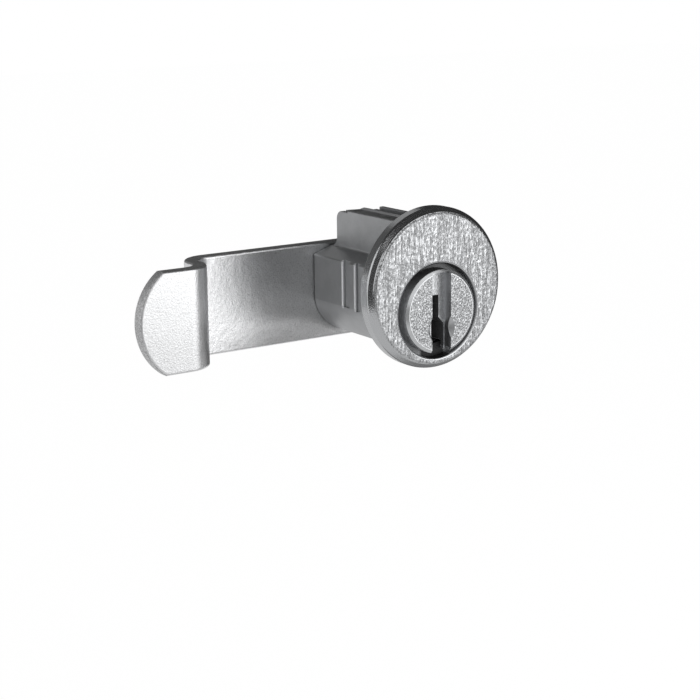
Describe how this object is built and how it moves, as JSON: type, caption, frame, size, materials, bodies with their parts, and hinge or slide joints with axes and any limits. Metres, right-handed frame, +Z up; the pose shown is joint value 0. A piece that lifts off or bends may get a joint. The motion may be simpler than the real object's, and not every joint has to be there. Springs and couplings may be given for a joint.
{
  "type": "mailbox lock",
  "caption": "Round-headed pin-tumbler cam lock for a mailbox door: a keyed plug in a flat-sided die-cast body turns a long steel cam that is bent forward and rounded at its tip.",
  "frame": {"origin": "on the head's axis, in the plane of the head's rear face, which seats on the door", "axes": "+Y into the mailbox, +Z up with the pin tower on top, and the cam points along -X"},
  "size_m": [0.0487, 0.0266, 0.0222],
  "materials": {
    "shell_nickel": "satin nickel on die-cast zinc, with a coarse upright grain on the head's face and a polished rim",
    "plug_nickel": "nickel on brass, finely speckled on its face",
    "cover_strip": "drawn strip",
    "cam_zinc": "zinc-plated sheet steel, finely speckled",
    "washer_steel": "zinc-plated",
    "screw_steel": "zinc-plated, machined",
    "pin_brass": "turned brass",
    "spring_wire": "drawn spring wire"
  },
  "bodies": {
    "shell": {"shell": "shell_nickel", "tumbler_cover": "cover_strip", "driver_spring_1": "spring_wire", "driver_spring_2": "spring_wire", "driver_spring_3": "spring_wire", "driver_spring_4": "spring_wire", "driver_spring_5": "spring_wire"},
    "plug": {"plug": "plug_nickel", "stop_washer": "washer_steel", "cam": "cam_zinc", "lock_washer": "washer_steel", "cam_screw": "screw_steel"},
    "key_pin_1": {"key_pin_1": "pin_brass"},
    "key_pin_2": {"key_pin_2": "pin_brass"},
    "key_pin_3": {"key_pin_3": "pin_brass"},
    "key_pin_4": {"key_pin_4": "pin_brass"},
    "key_pin_5": {"key_pin_5": "pin_brass"},
    "driver_pin_1": {"driver_pin_1": "pin_brass"},
    "driver_pin_2": {"driver_pin_2": "pin_brass"},
    "driver_pin_3": {"driver_pin_3": "pin_brass"},
    "driver_pin_4": {"driver_pin_4": "pin_brass"},
    "driver_pin_5": {"driver_pin_5": "pin_brass"}
  },
  "joints": [
    {"name": "plug_turn", "type": "hinge", "parent": "shell", "child": "plug", "pos_m": [0, 0, -0.00307], "axis": [0, 1, 0], "range_deg": [0, 90]},
    {"name": "key_pin_1_slide", "type": "slide", "parent": "plug", "child": "key_pin_1", "axis": [0, 0, 1], "range_m": [-0.00187, 0]},
    {"name": "key_pin_2_slide", "type": "slide", "parent": "plug", "child": "key_pin_2", "axis": [0, 0, 1], "range_m": [-0.00117, 0]},
    {"name": "key_pin_3_slide", "type": "slide", "parent": "plug", "child": "key_pin_3", "axis": [0, 0, 1], "range_m": [-0.00152, 0]},
    {"name": "key_pin_4_slide", "type": "slide", "parent": "plug", "child": "key_pin_4", "axis": [0, 0, 1], "range_m": [-0.00082, 0]},
    {"name": "key_pin_5_slide", "type": "slide", "parent": "plug", "child": "key_pin_5", "axis": [0, 0, 1], "range_m": [-0.00222, 0]},
    {"name": "driver_pin_1_slide", "type": "slide", "parent": "shell", "child": "driver_pin_1", "axis": [0, 0, 1], "range_m": [0, 0.0015], "stiffness_N_per_m": 60, "springref_m": -0.002, "deforming": ["driver_spring_1"]},
    {"name": "driver_pin_2_slide", "type": "slide", "parent": "shell", "child": "driver_pin_2", "axis": [0, 0, 1], "range_m": [0, 0.0015], "stiffness_N_per_m": 60, "springref_m": -0.002, "deforming": ["driver_spring_2"]},
    {"name": "driver_pin_3_slide", "type": "slide", "parent": "shell", "child": "driver_pin_3", "axis": [0, 0, 1], "range_m": [0, 0.0015], "stiffness_N_per_m": 60, "springref_m": -0.002, "deforming": ["driver_spring_3"]},
    {"name": "driver_pin_4_slide", "type": "slide", "parent": "shell", "child": "driver_pin_4", "axis": [0, 0, 1], "range_m": [0, 0.0015], "stiffness_N_per_m": 60, "springref_m": -0.002, "deforming": ["driver_spring_4"]},
    {"name": "driver_pin_5_slide", "type": "slide", "parent": "shell", "child": "driver_pin_5", "axis": [0, 0, 1], "range_m": [0, 0.0015], "stiffness_N_per_m": 60, "springref_m": -0.002, "deforming": ["driver_spring_5"]}
  ]
}
